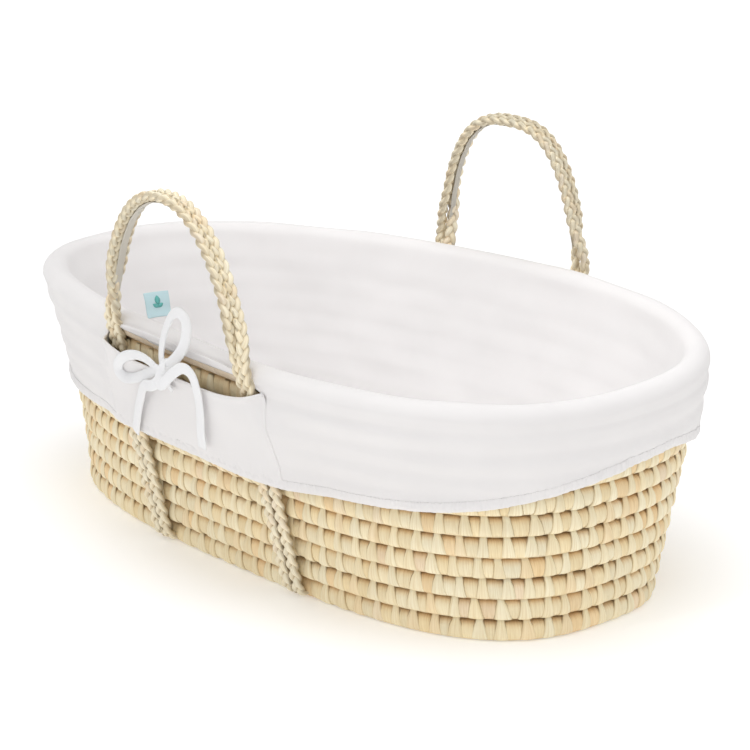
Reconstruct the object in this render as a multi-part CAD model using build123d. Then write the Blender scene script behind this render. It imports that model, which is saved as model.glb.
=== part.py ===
from build123d import *
import os
from math import atan2, copysign, cos, pi, radians, sin, sqrt, tan

# A lined Moses basket: coiled palm-leaf rows, two braided straps that run under the base,
# two hinged carrying handles, a cotton liner with a skirt and bows, and a lift-out mattress.
# Millimetres. +X is the wide head end, -Y the front, +Z up, origin at the bottom centre.

# ---- Basket outline ----
RIM_HALF_LENGTH = 400.0    # outside of the lined rim
RIM_HALF_WIDTH = 237.0
RIM_POWER_HEAD = 2.26      # superellipse powers of the plan
RIM_POWER_FOOT = 2.53
RIM_EGG = 0.23             # how much wider the head end is than the foot end
BASE_HALF_LENGTH = 350.0   # outside of the bottom row
BASE_HALF_WIDTH = 163.0
BASE_POWER = 2.7
BASE_EGG = 0.11
BASE_SHIFT = 11.0          # the base sits a little towards the head
RIM_Z = 236.0              # centre of the rim row

# ---- Rows of coil ----
WALL_ROWS = 10
ROW_THICKNESS = 20.0
ROW_HEIGHT = 22.0
FIRST_ROW_Z = 10.2
RIM_COIL_RADIUS = 11.2
RIM_INSET = 13.4           # from the lined outside to the rim row's centre
ROW_INSET = ROW_THICKNESS / 2
ROW_PITCH = (RIM_Z - FIRST_ROW_Z) / WALL_ROWS
FLOOR_RINGS = 6
FLOOR_RING_STEP = 20.0
FLOOR_RING_GAP = 0.6
FLOOR_RING_HEIGHT = 14.0
FLOOR_Z = 17.2

# ---- Straps and handles ----
STRAP_X = 104.0            # strap centre at the base, each side of the middle
BRAID_SPACING = 15.2
STRAP_BRAID_WIDTH = 13.6
STRAP_BRAID_THICKNESS = 8.8
STRAP_BASE_Z = 5.0
STRAP_BASE_OFFSET = 16.4   # strap centre outside the row centre, at the base and at the rim
STRAP_RIM_OFFSET = 18.9
STRAP_CORNER_RADIUS = 14.0
STRAP_TOP_Z = 243.0
HINGE_Z = 256.0
HINGE_OUT = 5.0            # the hinge line lies on the handle's outer face
HANDLE_BRAID_RADIUS = 5.4
HANDLE_BRAID_SPACING = 12.4
HANDLE_TWIST_HEIGHT = 60.0 # the braids turn from side by side to front and back over this
ARCH_RUNS = 22
ARCH_BASE_Z = 210.6        # where the arch formula starts, below the hinge
SEWING_RADIUS = 0.35
TAPE_WIDTH = 8.0
TAPE_THICKNESS = 1.2
FRONT_HANDLE = {"side": -1, "span": 228.0, "height": 188.6, "lean": 4.3, "power": 2.25, "taper": 0.08}
REAR_HANDLE = {"side": 1, "span": 184.0, "height": 190.5, "lean": -3.5, "power": 2.8, "taper": 0.1}

# ---- Liner ----
CLOTH = 1.2
LINER_FOOT_OUT = 10.8      # how far inside the row centres the liner lies, foot and top
LINER_TOP_OUT = 12.0
ROLL_INNER_RADIUS = RIM_COIL_RADIUS + 0.5
ROLL_OUTER_RADIUS = ROLL_INNER_RADIUS + CLOTH + 0.1
SKIRT_OUT = 12.0
PANEL_OUT = 24.8           # the panels stand out over the straps
PANEL_HALF_WIDTH = 130.0
PANEL_TOP_Z = 212.0
HEM_MID_Z = 131.5
HEM_HEAD_RISE = 35.0
HEM_FOOT_RISE = 14.0
CASING_HEIGHT = 10.0
CASING_THICKNESS = 1.4
ELASTIC_THICKNESS = 0.5
SEAM_GAP = 0.4

# ---- Mattress and label ----
MATTRESS_HALF_LENGTH = 325.0
MATTRESS_HALF_WIDTH = 139.0
MATTRESS_BOTTOM_Z = 26.2
MATTRESS_THICKNESS = 36.0
COVER_THICKNESS = 1.5
LABEL_SIZE = (33.0, 28.0, 0.8)
LABEL_Z = 159.0
LABEL_ANGLE = 169.0

# ---- Ties ----
TIE_RADIUS = 2.5
KNOT_CENTRE = (8.0, -256.0, 231.0)
REAR_KNOT_CENTRE = (0.0, -256.0, 222.0)
KNOT_SIZE = (20.0, 16.0, 17.0)
FRONT_UPPER_TIE_ROUTE = [
    (6, -240, 243), (8, -246, 234), (5, -252, 227), (-1, -255, 231), (-4, -254, 240),
    (-5, -252, 250), (-5, -249, 262), (-1, -247, 275), (7, -248, 285), (19, -250, 289),
    (30, -252, 284), (34, -254, 272), (31, -255, 258), (23, -256, 246), (13, -258, 236),
    (6, -261, 227), (4, -265, 219), (11, -268, 215), (19, -268, 223), (28, -266, 233),
    (39, -264, 241), (50, -262, 236), (53, -258, 220), (50, -252, 203), (45, -246, 186),
    (39, -240, 168), (36, -235, 151),
]
REAR_UPPER_TIE_ROUTE = [
    (2, -241, 236), (3, -247, 229), (9, -251, 224), (19, -253, 228), (32, -252, 229),
    (46, -257, 225), (59, -255, 217), (68, -252, 207), (69, -249, 197), (62, -248, 191),
    (49, -249, 195), (34, -251, 204), (19, -253, 214), (6, -257, 221), (-3, -261, 220),
    (-5, -265, 212), (4, -264, 206), (16, -258, 200), (27, -251, 189), (34, -245, 175),
    (38, -238, 159), (41, -233, 144),
]
LOWER_TIE_ROUTE = [
    (-2, -243, 204), (-2, -249, 212), (-7, -252, 221), (-20, -253, 229), (-38, -250, 231),
    (-59, -245, 227), (-79, -239, 218), (-93, -233, 208), (-96, -230, 198), (-87, -230, 193),
    (-69, -234, 197), (-48, -242, 206), (-26, -249, 217), (-8, -256, 226), (2, -261, 225),
    (3, -265, 216), (-8, -264, 210), (-23, -257, 206), (-39, -247, 198), (-53, -237, 184),
    (-66, -229, 168), (-79, -220, 149), (-91, -211, 131),
]


def oval(angle, half_length, half_width, head, foot, egg, shift):
    """One point of an egg-shaped superellipse."""
    c, s = cos(angle), sin(angle)
    power = 2 / (head if c >= 0 else foot)
    x = copysign(abs(c) ** power, c)
    y = copysign(abs(s) ** power, s) * half_width * (1 + egg * x)
    return half_length * x + shift, y


def wall_curve(level, out):
    """The plan curve of the wall at a level from 0, the first row, to 1, the rim row."""
    def centre(angle):
        base = oval(angle, BASE_HALF_LENGTH - ROW_INSET, BASE_HALF_WIDTH - ROW_INSET,
                    BASE_POWER, BASE_POWER, BASE_EGG, BASE_SHIFT)
        rim = oval(angle, RIM_HALF_LENGTH - RIM_INSET, RIM_HALF_WIDTH - RIM_INSET,
                   RIM_POWER_HEAD, RIM_POWER_FOOT, RIM_EGG, 0.0)
        return Vector(*base) + (Vector(*rim) - Vector(*base)) * level

    def point(angle):
        along = (centre(angle + 0.01) - centre(angle - 0.01)).normalized()
        return centre(angle) + along.cross(Vector(0, 0, 1)) * out
    return point


def level_at(z):
    return (z - FIRST_ROW_Z) / (RIM_Z - FIRST_ROW_Z)


def wall_y(x, z, out):
    """Half width of the wall at this x and height."""
    curve = wall_curve(level_at(z), out)
    low, high = 0.05, pi - 0.05
    for _ in range(40):
        middle = (low + high) / 2
        if curve(middle).X > x:
            low = middle
        else:
            high = middle
    return curve(low).Y


def ring_wire(curve, z, count=14):
    """A smooth closed wire of arcs, two for each stretch between points of the curve."""
    lift = Vector(0, 0, z)
    step = 2 * pi / count
    angles = [step * (i + 0.5) for i in range(count)]
    points = [curve(a) for a in angles]
    tangents = [(curve(a + 0.004) - curve(a - 0.004)).normalized() for a in angles]
    edges = []
    for i in range(count):
        p, q = points[i], points[(i + 1) % count]
        s, t = tangents[i], tangents[(i + 1) % count]
        v = q - p
        along = v.dot(s + t)
        spare = 2 * (1 - s.dot(t))
        reach = (-along + sqrt(along * along + spare * v.dot(v))) / spare
        middle = (p + q + (s - t) * reach) / 2
        turn = (q - t * reach - p - s * reach).normalized()
        edges.append(TangentArc(p + lift, middle + lift, tangent=s))
        edges.append(TangentArc(middle + lift, q + lift, tangent=turn))
    return Wire(edges)


def ring(curve, z, section):
    """A section swept round a level ring; its X points outward and its Y up."""
    path = ring_wire(curve, z)
    start = path.position_at(0)
    along = path.tangent_at(0)
    outward = along.cross(Vector(0, 0, 1))
    plane = Plane(origin=start, x_dir=outward, z_dir=outward.cross(Vector(0, 0, 1)))
    return sweep(plane * section, path=path)


def shell(low_z, high_z, low_out, high_out, thickness):
    """A thin wall of cloth that follows the basket between two heights."""
    def tube(shift, extra):
        low = wall_curve(level_at(low_z - extra), low_out + shift)
        high = wall_curve(level_at(high_z + extra), high_out + shift)
        wires = [ring_wire(low, low_z - extra), ring_wire(high, high_z + extra)]
        return Solid.make_loft(wires, ruled=True)
    return tube(thickness, 0) - tube(0, 1)


def hem_slab(low, high):
    """The space between two heights above the hem line, across the whole width."""
    end = RIM_HALF_LENGTH + 40
    points = []
    for x in (-end, -260, 0, 260, end):
        u = min(1.0, abs(x) / RIM_HALF_LENGTH)
        rise = HEM_HEAD_RISE if x > 0 else HEM_FOOT_RISE
        points.append(Vector(x, 0, HEM_MID_Z + rise * u ** 4))
    line = Spline(*points)
    lower = line.moved(Location((0, 0, low)))
    upper = line.moved(Location((0, 0, high)))
    sides = [Line(lower @ 0, upper @ 0), Line(lower @ 1, upper @ 1)]
    face = Face(Wire([lower, upper] + sides))
    return extrude(face, amount=RIM_HALF_WIDTH * 1.5, dir=(0, 1, 0), both=True)


def smooth_path(points):
    """Straight runs joined by the largest arcs that they leave room for."""
    points = [Vector(p) for p in points]
    radii = []
    for before, here, after in zip(points, points[1:], points[2:]):
        turn = (here - before).get_angle(after - here)
        shorter = min((here - before).length, (after - here).length)
        radii.append(0.45 * shorter / tan(radians(turn) / 2))
    return FilletPolyline(*points, radius=radii), radii


def rod(path, section):
    """A section swept along a path; its X is as level as it can be."""
    along = path % 0
    across = Vector(0, 0, 1).cross(along)
    if across.length < 0.2:
        across = Vector(1, 0, 0)
    plane = Plane(origin=path @ 0, x_dir=across.normalized(), z_dir=along)
    return sweep(plane * section, path=path)


def strap_point(x, side, z, offset):
    return Vector(x, side * wall_y(x, max(z, FIRST_ROW_Z), offset), z)


def strap_route(side, shift):
    """Down the front wall, under the base and up the rear wall."""
    route = []
    for handle in (FRONT_HANDLE, REAR_HANDLE):
        top_x = side * handle["span"] / 2 + shift
        base_x = side * STRAP_X + shift
        top = strap_point(top_x, handle["side"], STRAP_TOP_Z, STRAP_RIM_OFFSET)
        base = strap_point(base_x, handle["side"], STRAP_BASE_Z, STRAP_BASE_OFFSET)
        route.append((top, base))
    points = [route[0][0], route[0][1], route[1][1], route[1][0]]
    return FilletPolyline(*points, radius=STRAP_CORNER_RADIUS)


def handle_frame(handle):
    """Middle of the hinge line, its direction, outward, and the arch's upward direction."""
    ends = []
    for end in (-1, 1):
        x = end * handle["span"] / 2
        ends.append(Vector(x, handle["side"] * wall_y(x, RIM_Z, STRAP_RIM_OFFSET), HINGE_Z))
    across = (ends[1] - ends[0]).normalized()
    outward = across.cross(Vector(0, 0, 1)) * -handle["side"]
    lean = radians(handle["lean"])
    up = Vector(0, 0, 1) * cos(lean) + outward * sin(lean)
    return (ends[0] + ends[1]) / 2, across, outward, up


def arch_points(handle, depth, out, start, stop, count):
    """Points along the arch; depth shrinks it, and out moves a braid from side to face."""
    centre, across, outward, up = handle_frame(handle)
    points = []
    for i in range(count + 1):
        angle = start + (stop - start) * i / count
        c, s = cos(angle), sin(angle)
        rise = handle["height"] * abs(s) ** (2 / handle["power"])
        wide = handle["span"] / 2 * copysign(abs(c) ** (2 / handle["power"]), c)
        wide *= 1 - handle["taper"] * rise / handle["height"]
        above = rise - (HINGE_Z - ARCH_BASE_Z)
        twist = min(1.0, max(0.0, above / HANDLE_TWIST_HEIGHT)) * pi / 2
        wide += copysign(1, c) * out * cos(twist) - depth * c
        above -= depth * s
        points.append(centre + across * wide + up * above - outward * (out * sin(twist)))
    return points


def arch_start(handle):
    """The angle at which the arch formula passes the hinge line."""
    rise = (HINGE_Z - ARCH_BASE_Z + 1.0) / handle["height"]
    return atan2(rise ** (handle["power"] / 2), sqrt(1 - rise ** handle["power"]))


def handle_parts(name, handle):
    begin = arch_start(handle)
    round_braid = Circle(HANDLE_BRAID_RADIUS)
    half = HANDLE_BRAID_SPACING / 2
    parts = {}
    for label, out in (("outer_braid", half), ("inner_braid", -half)):
        path, _ = smooth_path(arch_points(handle, 0, out, begin, pi - begin, ARCH_RUNS))
        parts[f"{name}_{label}"] = rod(path, round_braid)
    path, _ = smooth_path(arch_points(handle, 0, 0, begin + 0.05, pi - begin - 0.05, ARCH_RUNS))
    parts[f"{name}_sewing"] = rod(path, Circle(SEWING_RADIUS))
    depth = HANDLE_BRAID_RADIUS + TAPE_THICKNESS
    path, _ = smooth_path(arch_points(handle, depth, 0, 0.6, pi - 0.6, ARCH_RUNS // 2))
    outward = handle_frame(handle)[2]
    plane = Plane(origin=path @ 0, x_dir=outward, z_dir=path % 0)
    parts[f"{name}_tape"] = sweep(plane * Rectangle(TAPE_WIDTH, TAPE_THICKNESS), path=path)
    return parts


def coil_parts():
    parts = {}
    oval_row = Ellipse(ROW_THICKNESS / 2, ROW_HEIGHT / 2)
    above_floor = Pos(0, 0, 250) * Box(1000, 700, 500)
    for i in range(WALL_ROWS):
        z = FIRST_ROW_Z + i * ROW_PITCH
        row = ring(wall_curve(i / WALL_ROWS, 0), z, oval_row)
        if i == 0:
            row = row & above_floor
            for side in (-1, 1):
                row -= Pos(side * STRAP_X, 0, 0) * Box(BRAID_SPACING * 2 + 4, 700, 24.4)
        parts[f"wall_coil_{i + 1:02d}"] = row
    parts["rim_coil"] = ring(wall_curve(1, 0), RIM_Z, Circle(RIM_COIL_RADIUS))
    bottom = FLOOR_Z - FLOOR_RING_HEIGHT / 2
    floor = Face(ring_wire(wall_curve(0, -ROW_INSET - FLOOR_RING_GAP), bottom))
    for i in range(FLOOR_RINGS):
        outer = offset(floor, amount=-FLOOR_RING_STEP * i) if i else floor
        inner = offset(floor, amount=-FLOOR_RING_STEP * (i + 1) + FLOOR_RING_GAP)
        parts[f"floor_coil_{i + 1}"] = extrude(outer - inner, amount=FLOOR_RING_HEIGHT)
    centre = offset(floor, amount=-FLOOR_RING_STEP * FLOOR_RINGS)
    parts["floor_coil_start"] = extrude(centre, amount=FLOOR_RING_HEIGHT)
    return parts


def strap_parts():
    parts = {}
    braid = Ellipse(STRAP_BRAID_WIDTH / 2, STRAP_BRAID_THICKNESS / 2)
    for name, side in (("foot", -1), ("head", 1)):
        for label, shift in (("a", -BRAID_SPACING / 2), ("b", BRAID_SPACING / 2)):
            parts[f"{name}_strap_braid_{label}"] = rod(strap_route(side, shift), braid)
        parts[f"{name}_strap_sewing"] = rod(strap_route(side, 0), Circle(SEWING_RADIUS))
    return parts


def liner_parts():
    parts = {}
    floor_top = FLOOR_Z + FLOOR_RING_HEIGHT / 2
    floor_curve = wall_curve(level_at(floor_top), -LINER_FOOT_OUT - CLOTH - 0.3)
    floor_face = Face(ring_wire(floor_curve, floor_top + 0.4))
    parts["liner_floor"] = extrude(floor_face, amount=CLOTH)
    parts["liner_wall"] = shell(floor_top + 0.4, RIM_Z - 0.6, -LINER_FOOT_OUT - CLOTH,
                                -LINER_TOP_OUT - CLOTH, CLOTH)
    half_ring = Circle(ROLL_OUTER_RADIUS) - Circle(ROLL_INNER_RADIUS)
    half_ring &= Pos(0, ROLL_OUTER_RADIUS / 2) * Rectangle(4 * ROLL_OUTER_RADIUS, ROLL_OUTER_RADIUS)
    roll = ring(wall_curve(1, 0), RIM_Z, half_ring)
    middle = {}
    for name, side in (("front", -1), ("rear", 1)):
        middle[name] = Pos(0, side * 300, 0) * Box(2 * PANEL_HALF_WIDTH, 600, 1000)
        parts[f"{name}_flap"] = roll & middle[name]
    long_gap = Box(2 * PANEL_HALF_WIDTH + 2 * SEAM_GAP, 800, 1000)
    parts["rim_roll"] = roll - long_gap
    ends = {"foot": -1, "head": 1}
    layers = {
        "skirt": (0.0, CLOTH, hem_slab(0, 200)),
        "hem_elastic": (CLOTH + 0.2, ELASTIC_THICKNESS, hem_slab(2, CASING_HEIGHT - 2)),
        "hem_casing": (CLOTH + ELASTIC_THICKNESS + 0.4, CASING_THICKNESS, hem_slab(0, CASING_HEIGHT)),
    }
    for layer, (lift, thickness, slab) in layers.items():
        top = RIM_Z - 0.4 if layer == "skirt" else 190
        near = shell(110, top, SKIRT_OUT + lift, SKIRT_OUT + lift, thickness) & slab
        far = shell(110, min(top, PANEL_TOP_Z), PANEL_OUT + lift, PANEL_OUT + lift, thickness) & slab
        cut = {}
        for name, end in ends.items():
            cut[name] = near & (Pos(end * (PANEL_HALF_WIDTH + SEAM_GAP + 250), 0, 0) * Box(500, 800, 1000))
        for name, region in middle.items():
            cut[name] = far & region
        if layer == "skirt":
            parts["foot_skirt"], parts["head_skirt"] = cut["foot"], cut["head"]
            parts["front_panel"], parts["rear_panel"] = cut["front"], cut["rear"]
        else:
            parts[layer] = Compound([solid for piece in cut.values() for solid in piece.solids()])
    return parts


def label_part():
    """A plain woven label on the inside of the foot end."""
    inside = -LINER_TOP_OUT - CLOTH - 1.4
    curve = wall_curve(level_at(LABEL_Z), inside)
    angle = radians(LABEL_ANGLE)
    along = (curve(angle + 0.02) - curve(angle - 0.02)).normalized()
    low = curve(angle)
    high = wall_curve(level_at(LABEL_Z) + 0.1, inside)(angle)
    rise = (high - low + Vector(0, 0, 0.1 * (RIM_Z - FIRST_ROW_Z))).normalized()
    plane = Plane(origin=low + Vector(0, 0, LABEL_Z), x_dir=along, z_dir=along.cross(rise))
    return plane * Box(*LABEL_SIZE)


def mattress_parts():
    def slab(inset, bottom, thickness):
        def curve(angle):
            return Vector(*oval(angle, MATTRESS_HALF_LENGTH - inset, MATTRESS_HALF_WIDTH - inset,
                                BASE_POWER, BASE_POWER, BASE_EGG, BASE_SHIFT))
        return extrude(Face(ring_wire(curve, bottom)), amount=thickness)
    cover = slab(0, MATTRESS_BOTTOM_Z, MATTRESS_THICKNESS)
    hollow = slab(COVER_THICKNESS, MATTRESS_BOTTOM_Z + COVER_THICKNESS,
                  MATTRESS_THICKNESS - 2 * COVER_THICKNESS)
    inset = COVER_THICKNESS + 0.4
    core = slab(inset, MATTRESS_BOTTOM_Z + inset, MATTRESS_THICKNESS - 2 * inset)
    return {"mattress_cover": cover - hollow, "mattress_core": core}


def tie_parts():
    """The ties of both bows; the rear ones are laid out at the front, then mirrored."""
    parts = {}
    bows = {
        "front": (FRONT_UPPER_TIE_ROUTE, KNOT_CENTRE),
        "rear": (REAR_UPPER_TIE_ROUTE, REAR_KNOT_CENTRE),
    }
    for end, (upper_route, centre) in bows.items():
        bow = {}
        for name, route in (("upper", upper_route), ("lower", LOWER_TIE_ROUTE)):
            path, radii = smooth_path(route)
            tube = rod(path, Circle(TIE_RADIUS))
            ratio = tube.volume / (pi * TIE_RADIUS ** 2 * path.length)
            print(f"{end} {name} tie: length {path.length:.1f}, volume ratio {ratio:.3f}")
            print("  radii", [round(r, 1) for r in radii])
            bow[f"{end}_{name}_tie"] = tube
        knot = scale(Solid.make_sphere(1), by=tuple(size / 2 for size in KNOT_SIZE))
        bow[f"{end}_bow_knot"] = Pos(*centre) * knot
        for node, part in bow.items():
            parts[node] = part if end == "front" else mirror(part, about=Plane.XZ)
    return parts


def all_parts():
    parts = {}
    parts.update(coil_parts())
    parts.update(strap_parts())
    parts.update(handle_parts("front_handle", FRONT_HANDLE))
    parts.update(handle_parts("rear_handle", REAR_HANDLE))
    parts.update(liner_parts())
    parts["woven_label"] = label_part()
    parts.update(mattress_parts())
    parts.update(tie_parts())
    return parts


os.makedirs("parts", exist_ok=True)
for node, part in all_parts().items():
    export_step(part, f"parts/{node}.step")
for title, handle in (("front", FRONT_HANDLE), ("rear", REAR_HANDLE)):
    centre, across, outward, _ = handle_frame(handle)
    hinge = centre + outward * HINGE_OUT
    print(title, "hinge at", [round(v / 1000, 5) for v in hinge], "along", [round(v, 5) for v in across])
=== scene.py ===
import math

import bpy
import numpy as np
from mathutils import Matrix, Vector


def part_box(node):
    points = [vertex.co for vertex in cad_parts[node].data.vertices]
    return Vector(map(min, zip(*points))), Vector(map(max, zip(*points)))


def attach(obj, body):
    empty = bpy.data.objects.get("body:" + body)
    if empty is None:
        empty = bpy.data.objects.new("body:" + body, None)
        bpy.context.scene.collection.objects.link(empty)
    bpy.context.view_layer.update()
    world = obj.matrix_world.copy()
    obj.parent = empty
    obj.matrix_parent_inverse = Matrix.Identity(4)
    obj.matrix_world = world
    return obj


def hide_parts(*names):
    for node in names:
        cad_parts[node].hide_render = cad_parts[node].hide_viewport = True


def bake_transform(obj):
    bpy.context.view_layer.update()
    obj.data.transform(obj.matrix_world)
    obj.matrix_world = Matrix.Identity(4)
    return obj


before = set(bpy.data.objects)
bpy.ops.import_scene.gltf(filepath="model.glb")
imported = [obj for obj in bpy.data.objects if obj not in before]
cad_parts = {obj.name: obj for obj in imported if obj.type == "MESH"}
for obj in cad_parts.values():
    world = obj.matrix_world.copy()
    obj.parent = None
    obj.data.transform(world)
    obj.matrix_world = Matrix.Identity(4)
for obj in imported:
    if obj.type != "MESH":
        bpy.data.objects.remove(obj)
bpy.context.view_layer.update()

# A lined palm-leaf Moses basket. Metres, in the frame of the CAD model: +X is the wide head
# end, -Y the front, +Z up.

TAU = 2 * math.pi

# ---- Sizes read from the frame ----
RIM_LOW, RIM_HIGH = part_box("rim_coil")
FLOOR_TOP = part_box("liner_floor")[1][2]
COIL_R = (RIM_HIGH[2] - RIM_LOW[2]) / 2
RIM_Z = (RIM_HIGH[2] + RIM_LOW[2]) / 2
WALL_ROWS = len([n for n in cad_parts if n.startswith("wall_coil_")])
FLOOR_RINGS = len([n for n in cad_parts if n.startswith("floor_coil_")]) - 1
FIRST_Z = 0.0102           # centre height of the first wall row
ROW_PITCH = (RIM_Z - FIRST_Z) / WALL_ROWS

# ---- Plan of the basket, as in the CAD model ----
RIM_INSET = 0.0134         # from the basket's outside to the centre of its rim row
RIM_HALF = (0.400 - RIM_INSET, 0.237 - RIM_INSET)
BASE_HALF = (0.342, 0.155)
RIM_POWERS = (2.26, 2.53)
BASE_POWERS = (2.85, 2.7)
RIM_EGG, BASE_EGG = 0.23, 0.11
BASE_SHIFT = 0.011
PANEL_HALF = 0.130
PANEL_TOP = 0.212
SLOT_CORNER_Z = 0.226
FLAP_EDGE_Z = 0.2435
STRAP_OUT_BASE, STRAP_OUT_RIM = 0.0164, 0.0189
STRAP_X = 0.104
BRAID_GAP = 0.0152
HINGE_Z = 0.256
ARCH_BASE_Z = 0.2106
HANDLES = {
    "front": {"side": -1, "span": 0.228, "height": 0.1886, "lean": 4.3, "power": 2.25, "taper": 0.08},
    "rear": {"side": 1, "span": 0.184, "height": 0.1905, "lean": -3.5, "power": 2.8, "taper": 0.1},
}


def smoothstep(low, high, x):
    k = np.clip((np.asarray(x, float) - low) / (high - low), 0, 1)
    return k * k * (3 - 2 * k)


def signed_power(value, power):
    return np.sign(value) * np.abs(value) ** power


def unit(v):
    return v / np.maximum(np.linalg.norm(v, axis=-1, keepdims=True), 1e-12)


def outward_of(along):
    """The level direction that points out of the basket, from a row's own direction."""
    along = unit(along)
    return np.stack([along[..., 1], -along[..., 0]], -1)


def run_along(points):
    """Distance along a line of points, from 0 at its first."""
    return np.concatenate([[0], np.cumsum(np.linalg.norm(np.diff(points, axis=0), axis=1))])


def follow(s, run, points):
    """The points of a line at distances s along it."""
    return np.stack([np.interp(s, run, column) for column in points.T], 1)


def oval(angle, half, powers, egg, shift):
    """A plan outline with one power for its head half and one for its foot half."""
    c, s = np.cos(angle), np.sin(angle)
    power = 2 / np.where(c >= 0, powers[0], powers[1])
    x = signed_power(c, power)
    y = signed_power(s, power) * half[1] * (1 + egg * x)
    return np.stack([half[0] * x + shift, y], -1)


def wall_centre(level, angle):
    """Row centres; the foot end stays steep near the floor and flares towards the rim."""
    base = oval(angle, BASE_HALF, BASE_POWERS, BASE_EGG, BASE_SHIFT)
    rim = oval(angle, RIM_HALF, RIM_POWERS, RIM_EGG, 0.0)
    level = np.asarray(level, float)
    foot = smoothstep(0.35, 0.85, -np.cos(angle))
    level = level - 0.6 * foot * level * (1 - level)
    return base + (rim - base) * level[..., None]


def outward_at(level, angle):
    return outward_of(wall_centre(level, angle + 0.01) - wall_centre(level, angle - 0.01))


def wall_plan(level, angle, out):
    return wall_centre(level, angle) + outward_at(level, angle) * np.asarray(out)[..., None]


def level_at(z):
    return (z - FIRST_Z) / (RIM_Z - FIRST_Z)


def saddle(level, x):
    """The soft rim dips at the ends, the foot end most."""
    u = x / RIM_HALF[0]
    return np.clip(level, 0, 1.1) ** 1.5 * (0.0046 + 0.0051 * u - 0.0106 * u * u)


def wall_point(angle, z, out):
    """A point on the wall at a nominal height, with the saddle added."""
    level = level_at(z)
    plan = wall_plan(level, angle, out)
    return np.stack([plan[..., 0], plan[..., 1], z + saddle(level, plan[..., 0])], -1)


def angle_at_x(x, level, side):
    """The plan angle of the wall's point with this x, on the front (-1) or the rear (1)."""
    angles = np.linspace(0.04, math.pi - 0.04, 900)
    xs = wall_centre(np.full(900, level), angles)[:, 0]
    return side * np.interp(x, xs[::-1], angles[::-1])


def even_angles(level, count):
    """Angles evenly spaced along the wall's length at this level."""
    fine = np.linspace(0, TAU, 4001)
    run = run_along(wall_centre(np.full(4001, level), fine))
    return np.interp(np.arange(count) / count * run[-1], run, fine)


def soft_noise(points, scale, seed):
    """Smooth noise from a sum of slanted sine waves; about -1 to 1."""
    random = np.random.default_rng(seed)
    total = np.zeros(points.shape[:-1])
    for _ in range(7):
        direction = random.normal(size=3)
        direction *= random.uniform(0.6, 1.6) / np.linalg.norm(direction)
        total += np.sin(points @ (direction * TAU / np.asarray(scale)) + random.uniform(0, TAU))
    return total / 3.2


def hem_height(angle):
    """Nominal height of the hem's lower edge: it climbs at both ends, the head end most."""
    t = 1 - np.sqrt(np.sin(angle) ** 2 + 0.015)
    degrees = (np.degrees(angle) + 180) % 360 - 180
    climb = np.exp(-(np.abs(degrees - 8) / 38) ** 1.5)
    head = 0.1315 + 0.046 * climb * smoothstep(90, 75, np.abs(degrees))
    foot = 0.1315 - 0.070 * np.maximum(t, 0) + 0.090 * t * t
    z = np.where(np.cos(angle) > 0, head, foot)
    return z - saddle(level_at(z), wall_centre(level_at(z), angle)[..., 0])


# ---- Materials ----
def node_material(name):
    """A new material, its node tree and its shader."""
    material = bpy.data.materials.new(name)
    material.use_nodes = True
    return material, material.node_tree, material.node_tree.nodes["Principled BSDF"]


def set_inputs(tree, node, inputs):
    """Gives each input its value, or links it from a socket."""
    for key, value in inputs.items():
        if isinstance(value, bpy.types.NodeSocket):
            tree.links.new(value, node.inputs[key])
        else:
            node.inputs[key].default_value = value


def add_node(tree, kind, inputs, **settings):
    node = tree.nodes.new("ShaderNode" + kind)
    for key, value in settings.items():
        setattr(node, key, value)
    set_inputs(tree, node, inputs)
    return node


def add_noise(tree, vector, scale, detail):
    noise = add_node(tree, "TexNoise", {"Scale": scale, "Detail": detail, "Vector": vector})
    return noise.outputs["Fac"]


def leaf_noise(tree, vector, scale, detail):
    """Noise drawn out along each leaf; scale is across the leaf, then along it."""
    mapped = add_node(tree, "Mapping", {"Scale": scale, "Vector": vector})
    return add_noise(tree, mapped.outputs["Vector"], 1.0, detail)


def add_ramp(tree, factor, low, high):
    """A colour ramp between two (position, colour) stops."""
    ramp = add_node(tree, "ValToRGB", {"Fac": factor})
    for element, (position, colour) in zip(ramp.color_ramp.elements, (low, high)):
        element.position = position
        element.color = (*colour, 1)
    return ramp.outputs["Color"]


def add_bump(tree, shader, heights, strength, distance):
    """Heights is a list of (socket, weight) that are summed into one bump."""
    total = None
    for socket, weight in heights:
        scaled = add_node(tree, "Math", {0: socket, 1: weight}, operation="MULTIPLY").outputs[0]
        if total is not None:
            scaled = add_node(tree, "Math", {0: total, 1: scaled}, operation="ADD").outputs[0]
        total = scaled
    bump = add_node(tree, "Bump", {"Strength": strength, "Distance": distance, "Height": total})
    set_inputs(tree, shader, {"Normal": bump.outputs["Normal"]})


def palm_material(name, roughness, fibre_depth):
    """Dry palm leaf: the leaf colour with its painted shade, broken up by fibres that run along each leaf.
    """
    material, tree, shader = node_material(name)
    colour = add_node(tree, "Attribute", {}, attribute_name="leaf_colour_and_shade").outputs["Color"]
    along = add_node(tree, "Attribute", {}, attribute_name="leaf_coord").outputs["Vector"]
    fibres = leaf_noise(tree, along, (1150, 45, 1), 3)
    pleats = leaf_noise(tree, along, (330, 14, 1), 1)
    streaks = add_ramp(tree, fibres, (0.30, (0.76, 0.66, 0.50)), (0.62, (1, 1, 1)))
    tint = add_node(tree, "Mix", {"Factor": 0.55, "A": colour, "B": streaks},
                    data_type="RGBA", blend_type="MULTIPLY")
    set_inputs(tree, shader, {"Base Color": tint.outputs["Result"], "Roughness": roughness,
                              "Specular IOR Level": 0.35})
    add_bump(tree, shader, [(fibres, 0.35), (pleats, 1.0)], 0.55, fibre_depth)
    return material


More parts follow.
